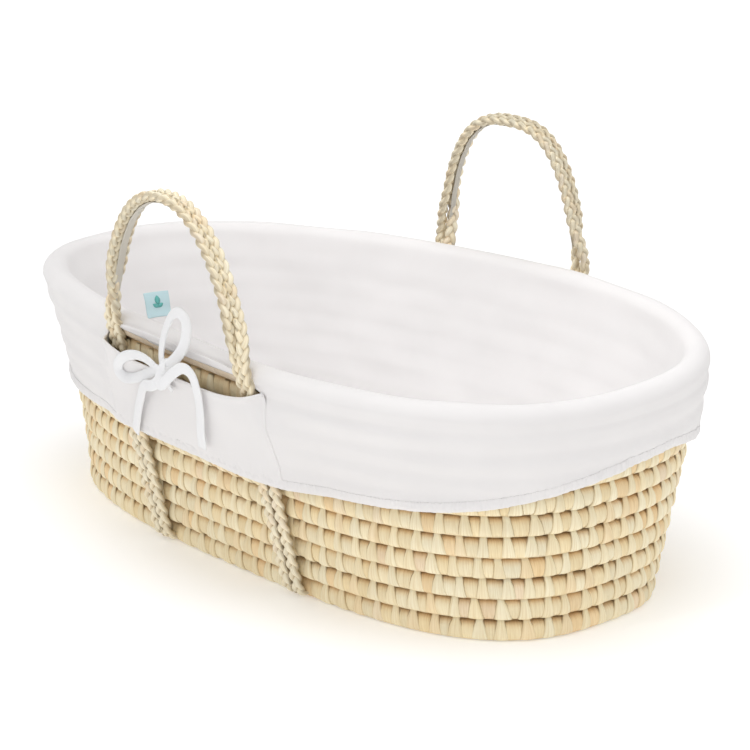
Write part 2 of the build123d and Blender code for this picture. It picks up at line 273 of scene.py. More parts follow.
def cloth_material(name, colour, weave, bump, mottle=0.03, sheen=0.25):
    """Cotton: fine crossed waves and slubs, with faint unevenness in its colour."""
    material, tree, shader = node_material(name)
    place = add_node(tree, "TexCoord", {}).outputs["Object"]
    heights = []
    for direction in "XYZ":
        wave = add_node(tree, "TexWave", {"Scale": weave, "Distortion": 1.2, "Detail": 1.0,
                                          "Detail Scale": 2.0, "Vector": place},
                        wave_type="BANDS", bands_direction=direction)
        heights.append((wave.outputs["Fac"], 0.35))
    heights.append((add_noise(tree, place, 170, 4), 0.8))
    shade = [c * (1 - mottle) for c in colour]
    base = add_ramp(tree, add_noise(tree, place, 11, 3), (0.35, shade), (0.65, colour))
    set_inputs(tree, shader, {"Base Color": base, "Roughness": 0.88, "Specular IOR Level": 0.2,
                              "Sheen Weight": sheen, "Sheen Roughness": 0.5})
    add_bump(tree, shader, heights, bump, 0.0004)
    return material


COIL_LEAF = palm_material("coil_leaf", 0.55, 0.0007)
BRAID_LEAF = palm_material("braid_leaf", 0.5, 0.0006)
COTTON = cloth_material("liner_cotton_cloth", (0.875, 0.853, 0.848), 900, 0.25)
SEAM_COTTON = cloth_material("seam_cotton", (0.875, 0.853, 0.848), 900, 0.35)
TIE_COTTON = cloth_material("tie_cotton_cloth", (0.95, 0.95, 0.96), 600, 0.5)
TAPE_COTTON = cloth_material("tape_cotton", (0.66, 0.62, 0.54), 480, 0.8, 0.08)
LABEL_SATIN = cloth_material("label_satin", (0.60, 0.79, 0.83), 1200, 0.3, 0.05, 0.1)
LABEL_THREAD = cloth_material("label_thread", (0.16, 0.50, 0.47), 1200, 0.4, 0.05, 0.1)
MATTRESS_COTTON = cloth_material("mattress_cotton_cloth", (0.86, 0.86, 0.87), 700, 0.3)
THREAD = cloth_material("waxed_thread", (0.74, 0.66, 0.50), 900, 0.6)
FOAM = cloth_material("foam_pad", (0.83, 0.79, 0.66), 350, 1.0, 0.08)


# ---- Mesh helpers ----
def add_object(name, data):
    item = bpy.data.objects.new(name, data)
    bpy.context.scene.collection.objects.link(item)
    return item


def make_piece(name, points, faces, material, body, nodes=(), colours=None, coords=None):
    mesh = bpy.data.meshes.new(name)
    mesh.from_pydata([tuple(p) for p in points], [], [tuple(int(i) for i in f) for f in faces])
    mesh.validate()
    if colours is not None:
        # The leaf colour of each point, with the painted shade that the row and plait builders add to it
        layer = mesh.attributes.new("leaf_colour_and_shade", "FLOAT_COLOR", "POINT")
        rgba = np.concatenate([colours, np.ones((len(colours), 1))], 1)
        layer.data.foreach_set("color", rgba.astype(np.float32).ravel())
        layer = mesh.attributes.new("leaf_coord", "FLOAT_VECTOR", "POINT")
        layer.data.foreach_set("vector", np.asarray(coords, np.float32).ravel())
    for polygon in mesh.polygons:
        polygon.use_smooth = True
    mesh.materials.append(material)
    piece = add_object(name, mesh)
    if body:
        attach(piece, body)
    if nodes:
        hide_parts(*nodes)
    return piece


def grid(rows, columns, close_rows=False, close_columns=False, first=0):
    """Quads of a grid of points stored row by row."""
    r = np.arange(rows if close_rows else rows - 1)
    c = np.arange(columns if close_columns else columns - 1)
    r, c = [a.ravel() for a in np.meshgrid(r, c, indexing="ij")]
    r2, c2 = (r + 1) % rows, (c + 1) % columns
    return np.stack([r * columns + c, r * columns + c2, r2 * columns + c2, r2 * columns + c], 1) + first


def tube_faces(rows, around, first=0):
    """Faces of a tube stored ring by ring, with both its ends closed."""
    ends = [[first + j for j in range(around - 1, -1, -1)],
            [first + around * (rows - 1) + j for j in range(around)]]
    return grid(rows, around, False, True, first).tolist() + ends


def sweep(path, wide, thin, a, b):
    """Rings of points round a path; a and b are their distances along wide and thin."""
    points = path[:, None, :] + wide[:, None, :] * a[..., None] + thin[:, None, :] * b[..., None]
    return points.reshape(-1, 3)


def joined(parts):
    """Several (points, faces, colours, coords) sets as one."""
    points, faces, colours, coords, start = [], [], [], [], 0
    for p, f, c, l in parts:
        points.append(p)
        faces.extend([[i + start for i in face] for face in f])
        colours.append(c)
        coords.append(l)
        start += len(p)
    return np.concatenate(points), faces, np.concatenate(colours), np.concatenate(coords)


def modify(piece, kind, **settings):
    """Adds a modifier and applies it to the piece's mesh."""
    modifier = piece.modifiers.new(kind.title(), kind)
    for key, value in settings.items():
        setattr(modifier, key, value)
    graph = bpy.context.evaluated_depsgraph_get()
    mesh = bpy.data.meshes.new_from_object(piece.evaluated_get(graph))
    piece.modifiers.clear()
    old = piece.data
    piece.data = mesh
    bpy.data.meshes.remove(old)


# ---- Leaf colours, linear, and the brown of the painted shade ----
CREAM = np.array([0.98, 0.90, 0.67])
STRAW = np.array([0.97, 0.81, 0.51])
TAN = np.array([0.95, 0.66, 0.34])
BLUSH = np.array([0.95, 0.74, 0.56])
PALE = np.array([1.00, 0.95, 0.81])
# Painted shade: the deep brown that the wall rows are darkened towards in the slits between them and along
# their undersides
SLIT_SHADE_BROWN = np.array([0.72, 0.44, 0.21])
RIM_LEAF = np.array([0.72, 0.60, 0.49])


def leaf_tints(count, random):
    """One colour for each leaf strip: mostly cream and straw, some tan, a few pinkish."""
    mix = random.uniform(0, 1, (count, 1))
    tints = CREAM * mix + STRAW * (1 - mix)
    kind = random.uniform(0, 1, count)
    tan = (kind < 0.13)[:, None]
    pink = ((kind > 0.13) & (kind < 0.18))[:, None]
    tints = np.where(tan, tints * 0.45 + TAN * 0.55, tints)
    tints = np.where(pink, tints * 0.5 + BLUSH * 0.5, tints)
    return tints * random.uniform(0.93, 1.05, (count, 1))


# ---- Coiled rows ----
BRICK = 0.0212             # spacing of the stitches along a row
ROW_OUT, ROW_UP = 0.0088, 0.0101     # half a row's depth and height
NUDGE = 0.002              # how far along a row its direction is taken
LEAF_SHIFT = 0.37          # keeps one leaf's fibres apart from the next one's
FINE_ROWS = 8              # rows that show below the skirt
RIM_TURNS = 96


def brick_count(curve):
    """How many stitches go round a closed level curve."""
    return max(6, round(run_along(curve(np.linspace(0, TAU, 2001)))[-1] / BRICK))


def row_frame(curve, steps):
    """Even points round a closed level curve, with outward directions and run lengths."""
    fine = curve(np.linspace(0, TAU, 6001))
    run = run_along(fine)
    total = run[-1]
    s = np.arange(steps) / steps * total
    ahead, behind = [follow((s + nudge) % total, run, fine) for nudge in (NUDGE, -NUDGE)]
    return follow(s, run, fine), outward_of(ahead - behind), s, total


def row_points(points, outward, out, heights):
    """Rings of points round a row, out from its centre line and at these heights."""
    xy = points[:, None, :] + outward[:, None, :] * out[..., None]
    return np.concatenate([xy, heights[..., None]], -1).reshape(-1, 3)


def coil_row(name, node, curve, z, random, per_brick, around, lift, skip, reach):
    """One wall row: a wrapped bundle that swells between stitches, and the stitches that
    bind it to the row above."""
    count = brick_count(curve)
    points, outward, s, total = row_frame(curve, count * per_brick)
    pitch = total / count
    bounds = (np.arange(count) + random.uniform(-0.13, 0.13, count) + random.uniform(0, 1)) * pitch
    bounds = np.sort(bounds % total)
    edges = np.concatenate([[bounds[-1] - total], bounds, [bounds[0] + total]])
    phi = np.linspace(-math.pi, math.pi, around, endpoint=False)
    c, q = np.cos(phi), np.sin(phi)
    shifted = (s[:, None] + 0.0013 * q) % total
    brick = np.clip(np.searchsorted(edges, shifted, side="right") - 1, 0, count)
    phase = (shifted - edges[brick]) / (edges[brick + 1] - edges[brick])
    brick %= count
    puff = 1 - np.abs(2 * phase - 1) ** 2.6
    swell = random.uniform(0.7, 1.2, count)[brick]
    tilt = (phase - 0.5) * random.uniform(-0.0008, 0.0008, count)[brick]
    out = (ROW_OUT * signed_power(c, 0.72)
           + (0.0014 * puff * swell - 0.0003 + tilt) * np.maximum(c, 0) ** 0.5)
    up = ROW_UP * signed_power(q, 0.9) * (1 + 0.035 * puff)
    wobble = 0.0006 * np.sin(s / 0.083 + random.uniform(0, TAU)) + 0.0004 * np.sin(s / 0.031)
    heights = np.maximum(z + up + wobble[:, None] + lift(points[:, 0])[:, None], 0.0)
    colour = leaf_tints(count, random)[brick]
    # Painted shade: each row turns tan and then deep brown towards its top, where it runs into the slit
    # under the row above. It turns tan beside the stitches at the ends of each brick, and deep brown along
    # its underside.
    for tint, take, give, amount in (
            (TAN, 0.45, 0.45, smoothstep(0.15, 0.95, q)),
            (SLIT_SHADE_BROWN, 0.5, 0.5, smoothstep(0.62, 0.98, q)),
            (TAN, 0.25, 0.15, smoothstep(0.80, 1.0, np.abs(2 * phase - 1))),
            (SLIT_SHADE_BROWN, 0.30, 0.15, smoothstep(-0.6, -1.0, q))):
        colour = colour * (1 - take * amount[..., None]) + tint * give * amount[..., None]
    coord = np.stack([shifted, np.broadcast_to(phi * ROW_UP, shifted.shape), brick * LEAF_SHIFT], -1)
    bundle = (row_points(points, outward, out, heights), grid(len(s), around, True, True).tolist(),
              colour.reshape(-1, 3), coord.reshape(-1, 3))
    strips = stitches(edges[1:-1], curve, z, random, lift, total, skip, reach)
    points, faces, colours, coords = joined([bundle] + strips)
    make_piece(name, points, faces, COIL_LEAF, "basket", [node], colours, coords)


STITCH_PATH = (  # outward in metres, up in parts of the pitch, half width
    (0.0060, 0.640, 0.0035),
    (0.0078, 0.560, 0.0035),
    (0.0084, 0.480, 0.0036),
    (0.0088, 0.400, 0.0040),
    (0.0098, 0.290, 0.0047),
    (0.0104, 0.140, 0.0056),
    (0.0106, -0.030, 0.0064),
    (0.0101, -0.200, 0.0072),
    (0.0088, -0.330, 0.0079),
    (0.0060, -0.415, 0.0080),
    (0.0030, -0.440, 0.0074),
)


def stitches(places, curve, z, random, lift, total, skip, reach):
    """The binding strips: narrow where they hook over the row above, fanning out below."""
    fine = curve(np.linspace(0, TAU, 6001))
    run = run_along(fine)
    tints = leaf_tints(len(places), random) * 0.6 + CREAM * 1.03 * 0.4
    section = np.array([-1, -0.72, -0.25, 0.25, 0.72, 1, 0.5, -0.5])
    crown = np.array([-0.0016, 0.0001, 0.0007, 0.0007, 0.0001, -0.0016, -0.0024, -0.0024])
    count = len(STITCH_PATH)
    t = np.repeat(np.arange(count) / (count - 1), 8)[:, None]
    side = np.tile(np.abs(section), count)[:, None]
    back = np.tile(crown < -0.0010, count)[:, None]
    sets = []
    for i, place in enumerate(places):
        spread = random.uniform(0.82, 1.15)
        slant = random.uniform(-0.0026, 0.0020)
        rings = []
        for k, (out, up, half) in enumerate(STITCH_PATH):
            part = k / (count - 1)
            centre = place - 0.0007 * math.cos(math.pi * part) + slant * (0.5 - part)
            s = (centre + section * half * (spread if part > 0.3 else 1.0)) % total
            xy = follow(s, run, fine)
            outward = outward_of(follow((s + NUDGE) % total, run, fine) - xy)
            xy = xy + outward * (out + crown * (0.5 + 0.7 * part))[:, None]
            height = z + min(up, reach) * ROW_PITCH + lift(xy[:, 0])
            rings.append(np.concatenate([xy, height[:, None]], 1))
        if skip is not None and skip(rings[5][2]):
            continue
        # Painted shade: darker at the top, where the stitch hooks under the row above, and at the foot,
        # where it goes into the row below. It is also darker along its edges, and darker and tan on its back
        # faces against the bundle.
        colour = tints[i] * (1 - 0.28 * smoothstep(0.35, 0.0, t)) * (1 - 0.25 * smoothstep(0.85, 1, t))
        colour = colour * (1 - 0.16 * smoothstep(0.7, 1.0, side))
        colour = np.where(back, colour * 0.55 + TAN * 0.25, colour)
        coord = np.stack([place + np.tile(section, count) * 0.006, t[:, 0] * 0.02,
                          np.full(8 * count, i * 0.61)], 1)
        sets.append((np.concatenate(rings), tube_faces(count, 8), colour, coord))
    return sets


def under_strap(point):
    return abs(abs(point[0]) - STRAP_X) < 0.024


def make_coils():
    for i in range(WALL_ROWS):
        level = i / WALL_ROWS
        last = i == WALL_ROWS - 1
        per_brick, around = (12, 20) if i < FINE_ROWS or last else (6, 12)

        def curve(angle, level=level):
            return wall_centre(np.full(np.shape(angle), level), angle)

        def lift(x, level=level):
            return saddle(level, x)
        coil_row(f"leaf_row_{i + 1:02d}", f"wall_coil_{i + 1:02d}", curve, FIRST_Z + i * ROW_PITCH,
                 np.random.default_rng(100 + i), per_brick, around, lift,
                 skip=under_strap if i == 0 else None, reach=0.40 if last else 0.64)
    make_rim()
    for i in range(FLOOR_RINGS):
        inset = 0.0203 + 0.020 * i

        def ring(angle, inset=inset):
            return oval(angle, (BASE_HALF[0] - inset, BASE_HALF[1] - inset), BASE_POWERS,
                        BASE_EGG, BASE_SHIFT)
        floor_row(f"leaf_floor_{i + 1}", f"floor_coil_{i + 1}", ring, np.random.default_rng(200 + i))
    low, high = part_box("floor_coil_start")
    bend = 0.0098
    straight = (high[0] - low[0]) / 2 - 0.008 - bend
    middle = (high[0] + low[0]) / 2

    def start_curve(angle):
        c, s = np.cos(angle), np.sin(angle)
        x = np.where(np.abs(c) > 1e-9, np.sign(c), 0) * straight * np.minimum(1, np.abs(c) * 1.3)
        return np.stack([middle + x + bend * c, bend * s], -1)
    floor_row("leaf_floor_start", "floor_coil_start", start_curve, np.random.default_rng(299))


def floor_row(name, node, curve, random):
    """A row of the flat floor: the same wrapped bundle, pressed flat."""
    count = brick_count(curve)
    points, outward, s, total = row_frame(curve, count * 8)
    phi = np.linspace(-math.pi, math.pi, 14, endpoint=False)
    c, q = np.cos(phi), np.sin(phi)
    shifted = (s[:, None] + 0.003 * c) % total
    position = shifted / total * count
    brick = np.floor(position).astype(int) % count
    phase = position - np.floor(position)
    puff = 1 - np.abs(2 * phase - 1) ** 3
    out = 0.0097 * signed_power(c, 0.8) * (0.97 + 0.03 * puff)
    heights = 0.0172 + (0.0058 + 0.0010 * puff) * signed_power(q, 0.6)
    # Painted shade: darker at the ends of each brick, and much darker down the sides where the rings press
    # together
    edge = smoothstep(0.8, 1.0, np.abs(2 * phase - 1))[..., None]
    side = smoothstep(0.6, 1.0, np.abs(c))[:, None]
    colour = leaf_tints(count, random)[brick] * (1 - 0.4 * edge) * (1 - 0.5 * side)
    coord = np.stack([shifted, np.broadcast_to(phi * 0.008, shifted.shape), brick * LEAF_SHIFT], -1)
    make_piece(name, row_points(points, outward, out, heights), grid(len(s), 14, True, True), COIL_LEAF,
               "basket", [node], colour.reshape(-1, 3), coord.reshape(-1, 3))


def make_rim():
    """The top row is wrapped smoothly, each turn of leaf overlapping the last."""
    def curve(angle):
        return wall_centre(np.ones(np.shape(angle)), angle)
    points, outward, s, total = row_frame(curve, 1500)
    phi = np.linspace(-math.pi, math.pi, 24, endpoint=False)
    position = (s[:, None] + 0.010 * phi / math.pi) / (total / RIM_TURNS)
    turn = np.floor(position).astype(int) % RIM_TURNS
    phase = position - np.floor(position)
    radius = COIL_R * 0.965 + 0.0005 * phase ** 2 - 0.0003 * (phase < 0.05)
    heights = RIM_Z + radius * np.sin(phi) + saddle(1.0, points[:, 0])[:, None]
    tints = leaf_tints(RIM_TURNS, np.random.default_rng(321))[turn] * 0.25
    # Painted shade: each turn is a little darker where it comes out from under the turn before
    colour = (tints + RIM_LEAF * 0.75) * (1 - 0.12 * smoothstep(0.06, 0.0, phase)[..., None])
    coord = np.stack(np.broadcast_arrays(phi * COIL_R, s[:, None], turn * LEAF_SHIFT), -1)
    make_piece("leaf_rim", row_points(points, outward, radius * np.cos(phi), heights),
               grid(len(s), 24, True, True), COIL_LEAF, "basket", ["rim_coil"],
               colour.reshape(-1, 3), coord.reshape(-1, 3))


# ---- Braids ----
def resample(points, step):
    """Even points along a line, and their distances along it."""
    points = np.asarray(points, float)
    run = run_along(points)
    s = np.linspace(0, run[-1], max(2, int(run[-1] / step)) + 1)
    return follow(s, run, points), s


def smooth_rows(points, rounds):
    points = points.copy()
    for _ in range(rounds):
        points[1:-1] = points[1:-1] * 0.5 + (points[:-2] + points[2:]) * 0.25
    return points


def ribbon_frame(path, across, step):
    """Even points along a path, with its width and face directions and distances along it."""
    path, s = resample(path, step)
    across = unit(follow(s, np.linspace(0, s[-1], len(across)), across))
    tangent = unit(np.gradient(path, axis=0))
    across = unit(across - tangent * (across * tangent).sum(1, keepdims=True))
    return path, across, np.cross(across, tangent), s


def braid(path, across, width, thickness, period, random):
    """A flat plait of three leaf strands along a path. across is the plait's width direction."""
    path, across, face, s = ribbon_frame(path, across, 0.0016)
    shape = np.linspace(0, TAU, 12, endpoint=False)
    drift = 1 + 0.05 * np.sin(s / 0.047 + random.uniform(0, TAU))
    crease = 1 + 0.07 * np.cos(5 * shape) * (np.abs(np.sin(shape)) > 0.3)
    ring_a = np.cos(shape) * width * 0.235
    ring_b = signed_power(np.sin(shape), 0.8) * thickness * 0.27 * crease
    # Painted shade: each strand is darker and tan along its edges, where it presses against the next strand
    rim = np.abs(np.cos(shape))[:, None] ** 4
    edge_shade_warmth = 0.22 * rim
    sets = []
    for strand in range(3):
        theta = TAU * s / period + TAU * strand / 3
        side = width * 0.27 * np.sin(theta) * drift
        high = thickness * 0.21 * np.sin(2 * theta)
        centre = path + across * side[:, None] + face * high[:, None]
        heading = unit(np.gradient(centre, axis=0))
        wide = unit(np.cross(heading, face))
        normal = np.cross(heading, wide)
        twist = (0.35 * np.cos(theta))[:, None]
        wide, normal = (wide * np.cos(twist) + normal * np.sin(twist),
                        normal * np.cos(twist) - wide * np.sin(twist))
        segment = np.floor(theta / math.pi + 0.5).astype(int)
        segment -= segment.min()
        tints = leaf_tints(segment.max() + 2, random)[segment] * 0.5 + PALE * 0.5
        bulk = (1 + 0.10 * np.sin(2 * theta + 0.6) + random.normal(0, 0.015, len(s)))[:, None]
        # Painted shade: darker where the strand dips under the others
        deep = smoothstep(-0.15, -1.0, np.sin(2 * theta))[:, None, None]
        colour = tints[:, None, :] * (1 - 0.24 * deep) * (1 - 0.32 * rim)
        colour = colour * (1 - edge_shade_warmth) + TAN * 0.6 * edge_shade_warmth
        coord = np.stack(np.broadcast_arrays(shape * width * 0.235, s[:, None], strand * 0.3), -1)
        sets.append((sweep(centre, wide, normal, ring_a * bulk, ring_b * bulk), tube_faces(len(s), 12),
                     colour.reshape(-1, 3), coord.reshape(-1, 3)))
    return joined(sets)


def tape_strip(name, path, across, width, thickness, material, body, nodes, wave=0.0):
    """A flat strip with rounded edges along a path."""
    path, across, face, s = ribbon_frame(path, across, 0.002)
    shape = np.linspace(0, TAU, 14, endpoint=False)
    a = signed_power(np.cos(shape), 0.5) * width / 2
    b = signed_power(np.sin(shape), 0.8) * thickness / 2
    ripple = wave * np.sin(s / 0.0043) * np.sin(s / 0.019)
    points = sweep(path, across, face, a[None, :], b + ripple[:, None])
    return make_piece(name, points, tube_faces(len(s), 14), material, body, nodes)


def handle_frame(name):
    """Middle of the line through the leg roots, its direction, outward, and the arch's up."""
    handle = HANDLES[name]
    ends = []
    for end in (-1, 1):
        x = end * handle["span"] / 2
        angle = angle_at_x(x, 1.0, handle["side"])
        plan = wall_plan(np.array(1.0), np.array(angle), STRAP_OUT_RIM)
        ends.append(np.array([plan[0], plan[1], HINGE_Z]))
    across = unit(ends[1] - ends[0])
    outward = np.cross(across, (0, 0, 1)) * -handle["side"]
    lean = math.radians(handle["lean"])
    up = np.array([0, 0, 1]) * math.cos(lean) + outward * math.sin(lean)
    return (ends[0] + ends[1]) / 2, across, outward, up


def arch_path(name, depth, out):
    """Centre line and width direction of a braid: up from behind the panel, over the arch
    and down again. out moves it from beside the middle to in front of or behind it."""
    handle = HANDLES[name]
    centre, across, outward, up = handle_frame(name)
    angle = np.linspace(0.012, math.pi - 0.012, 240)
    c, s = np.cos(angle), np.sin(angle)
    rise = handle["height"] * np.abs(s) ** (2 / handle["power"])
    wide = handle["span"] / 2 * signed_power(c, 2 / handle["power"])
    wide = wide * (1 - handle["taper"] * rise / handle["height"])
    above = rise - (HINGE_Z - ARCH_BASE_Z)
    twist = smoothstep(0.0, 0.06, above) * math.pi / 2
    side = np.where(c >= 0, 1.0, -1.0)
    wide = wide + side * out * np.cos(twist) - depth * c
    leaning = np.where(above > 0, 1.0, 0.0)[:, None]
    rising = up * leaning + np.array([0, 0, 1.0]) * (1 - leaning)
    points = (centre + across * wide[:, None] + rising * (above - depth * s)[:, None]
              - outward * (out * np.sin(twist))[:, None])
    width = (across[None, :] * side[:, None] * np.cos(twist)[:, None]
             - outward[None, :] * np.sin(twist)[:, None])
    below = smoothstep(0.0, -0.045, above)[:, None]
    return points - outward * (0.011 * below), unit(width), above


def make_handles():
    for name in HANDLES:
        centre = handle_frame(name)[0]
        pieces = []
        for label, out, seed in (("outer", 0.0058, 1), ("inner", -0.0058, 2)):
            path, width, above = arch_path(name, 0, out)
            face = np.cross(width, unit(np.gradient(path, axis=0)))
            roof = np.sign(out) * 0.35 * smoothstep(0.0, 0.05, above)[:, None]
            width = width * np.cos(roof) + face * np.sin(roof)
            points, faces, colours, coords = braid(path, width, 0.0130, 0.0104, 0.037,
                                                   np.random.default_rng(seed + len(name) * 10))
            pieces.append(make_piece(f"{name}_handle_plait_{label}", points, faces, BRAID_LEAF, None,
                                     [f"{name}_handle_{label}_braid"], colours, coords))
        path, width, above = arch_path(name, 0.0062, 0)
        keep = above > -0.02
        pieces.append(tape_strip(f"{name}_handle_cotton_tape", path[keep], width[keep], 0.0085, 0.0012,
                                 TAPE_COTTON, None, [f"{name}_handle_tape"], 0.0003))
        path, _, above = arch_path(name, -0.0040, 0)
        points, faces = thread_run(path[above > -0.0095], 0.0007, 0.009, 0.005)
        pieces.append(make_piece(f"{name}_handle_thread", points, faces, THREAD, None,
                                 [f"{name}_handle_sewing"]))
        for piece in pieces:
            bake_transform(piece)


def thread_run(path, radius, pitch, stitch):
    """Short rounded stitches along a path."""
    path, s = resample(path, 0.001)
    tangent = unit(np.gradient(path, axis=0))
    helper = unit(np.cross(tangent, (0.3, 0.2, 0.93)))
    other = np.cross(tangent, helper)
    shape = np.linspace(0, TAU, 6, endpoint=False)
    size = radius * np.array([0.35, 0.9, 1, 1, 0.9, 0.35])[:, None]
    points, faces = [], []
    for start in np.arange(pitch / 2, s[-1] - stitch, pitch):
        index = np.searchsorted(s, np.linspace(start, start + stitch, 6))
        faces += tube_faces(6, 6, 36 * len(points))
        points.append(sweep(path[index], helper[index], other[index],
                            size * np.cos(shape), size * np.sin(shape)))
    return np.concatenate(points), faces


def strap_path(side, shift, out):
    """Down the front wall, under the floor and up the rear wall, in the strap's own plane."""
    halves = []
    for name in ("front", "rear"):
        handle = HANDLES[name]
        top_x = side * handle["span"] / 2 + shift
        base_x = side * STRAP_X + shift
        rows = []
        for z in np.linspace(0.207, 0.012, 60):
            k = (z - 0.005) / (0.243 - 0.005)
            x = base_x + (top_x - base_x) * k
            level = level_at(z)
            angle = angle_at_x(x, max(level, 0), handle["side"])
            offset = STRAP_OUT_BASE + (STRAP_OUT_RIM - STRAP_OUT_BASE) * level + out
            plan = wall_plan(np.array(max(level, 0)), np.array(angle), offset)
            rows.append((x, plan[1], z))
        rows = np.array(rows)
        corner = np.array([base_x, rows[-1][1], 0.0052 - out])
        rows = np.concatenate([rows, [corner]])
        halves.append(rows)
    under = np.linspace(halves[0][-1], halves[1][-1], 60)[1:-1]
    path = np.concatenate([halves[0], under, halves[1][::-1]])
    path, _ = resample(path, 0.003)
    return smooth_rows(path, 14)


def make_straps():
    for end, side in (("foot", -1), ("head", 1)):
        for label, shift in (("a", -BRAID_GAP / 2), ("b", BRAID_GAP / 2)):
            path = strap_path(side, shift, 0.0)
            width = np.tile([-1.0, 0, 0], (len(path), 1))
            random = np.random.default_rng(40 + side * 3 + (label == "b"))
            points, faces, colours, coords = braid(path, width, 0.0148, 0.0090, 0.043, random)
            points[:, 2] = np.maximum(points[:, 2], 0.0002)
            make_piece(f"{end}_strap_plait_{label}", points, faces, BRAID_LEAF, "basket",
                       [f"{end}_strap_braid_{label}"], colours, coords)
        path = strap_path(side, 0.0, 0.0032)
        points, faces = thread_run(path, 0.0008, 0.0085, 0.0058)
        points[:, 2] = np.maximum(points[:, 2], 0.0002)
        make_piece(f"{end}_strap_thread", points, faces, THREAD, "basket",
                   [f"{end}_strap_sewing"])


# ---- Liner ----
LINER_STEP = 520           # columns round the basket
ROLL_R = 0.0131            # the padded roll over the rim
MEAN_RADIUS = 0.30         # turns an angle round the basket into a run of cloth


def noise_along(run, length, seed):
    """Soft noise that changes only along a run of cloth."""
    return soft_noise(np.stack([run, 0 * run, 0 * run], -1), (length, 1, 1), seed)


def panel_bulge(x, z):
    """How far the skirt stands out over the straps."""
    ax = np.abs(x)
    near = 1 - smoothstep(0.122, 0.185, ax)
    corner = smoothstep(0.116, 0.129, ax)
    high = smoothstep(0.188, SLOT_CORNER_Z - 0.002, z)
    middle = 1 - 0.22 * (1 - smoothstep(0.0, 0.085, ax))
    return 0.0118 * near * middle * (1 - corner * high)


def skirt_out(angle, z, x):
    """Distance of the skirt outside the row centres, with its ridges, folds and gathers."""
    side = np.sign(np.sin(angle))
    hem = hem_height(angle)
    ax = np.abs(x)
    out = 0.0134 + panel_bulge(x, z)
    ridge = np.cos(TAU * (z - FIRST_Z) / ROW_PITCH)
    tension = smoothstep(0.10, 0.20, ax) * (1 - smoothstep(0.33, 0.42, ax) * 0.3)
    out = out + 0.0007 * (ridge + 0.6) * tension * smoothstep(0.24, 0.21, z)
    cell = np.stack([x, side * 0.3 + 0 * x, z], -1)
    out = out + 0.0013 * (0.5 + soft_noise(cell, (0.17, 1.0, 0.027), 3)) * smoothstep(0.245, 0.215, z)
    out = out + 0.0013 * (0.5 + soft_noise(cell, (0.24, 1.0, 0.08), 4)) * smoothstep(0.25, 0.2, z)
    run = angle * MEAN_RADIUS
    gather = soft_noise(np.stack([run, 0 * run, z * 0.15], -1), (0.017, 1, 0.2), 5)
    pucker = np.sin(run * TAU / 0.0078 + 1.7 * noise_along(run, 0.05, 6))
    close = smoothstep(0.034, 0.0, z - hem)
    strong = 0.35 + 0.65 * smoothstep(0.1, 0.36, x)
    return out + close * strong * (0.0010 * gather + 0.0006 * pucker + 0.0006)


def flap_edge(x):
    return FLAP_EDGE_Z - (FLAP_EDGE_Z - SLOT_CORNER_Z) * np.minimum(1, np.abs(x) / PANEL_HALF) ** 5


def panel_edge(x):
    return PANEL_TOP + (SLOT_CORNER_Z - PANEL_TOP) * np.minimum(1, np.abs(x) / PANEL_HALF) ** 4


def inside_out(angle, z, x_rim):
    """Distance of the liner's inner wall from the row centres, with its soft folds."""
    cell = np.stack([x_rim, np.sin(angle), z], -1)
    folds = 0.0016 * soft_noise(cell, (0.30, 1.3, 0.16), 11) + 0.0008 * soft_noise(
        cell, (0.09, 0.6, 0.05), 12)
    fade = smoothstep(FLOOR_TOP, FLOOR_TOP + 0.03, z) * smoothstep(RIM_Z, RIM_Z - 0.02, z)
    ridge = -0.0005 * np.cos(TAU * (z - FIRST_Z) / ROW_PITCH)
    return -0.0122 - 0.0014 * level_at(z) + (ridge - np.abs(folds)) * fade


def liner_profile(angle, x_rim):
    """Rows of the liner from the floor, up the inside and over the rim to the slot level."""
    rows = []
    for height in np.linspace(FLOOR_TOP, RIM_Z - 0.002, 30):
        z = np.full_like(angle, height)
        rows.append(wall_point(angle, z, inside_out(angle, z, x_rim)))
    for turn in np.linspace(math.pi, 0.0, 15)[1:]:
        cell = np.stack([x_rim, np.sin(angle), np.full_like(angle, turn * 0.01)], -1)
        radius = ROLL_R + 0.0007 * soft_noise(cell, (0.11, 0.5, 1.0), 13)
        plan = wall_plan(np.ones_like(angle), angle, radius * math.cos(turn))
        z = RIM_Z + radius * math.sin(turn) + saddle(1.0, plan[:, 0])
        rows.append(np.concatenate([plan, z[:, None]], 1))
    return rows


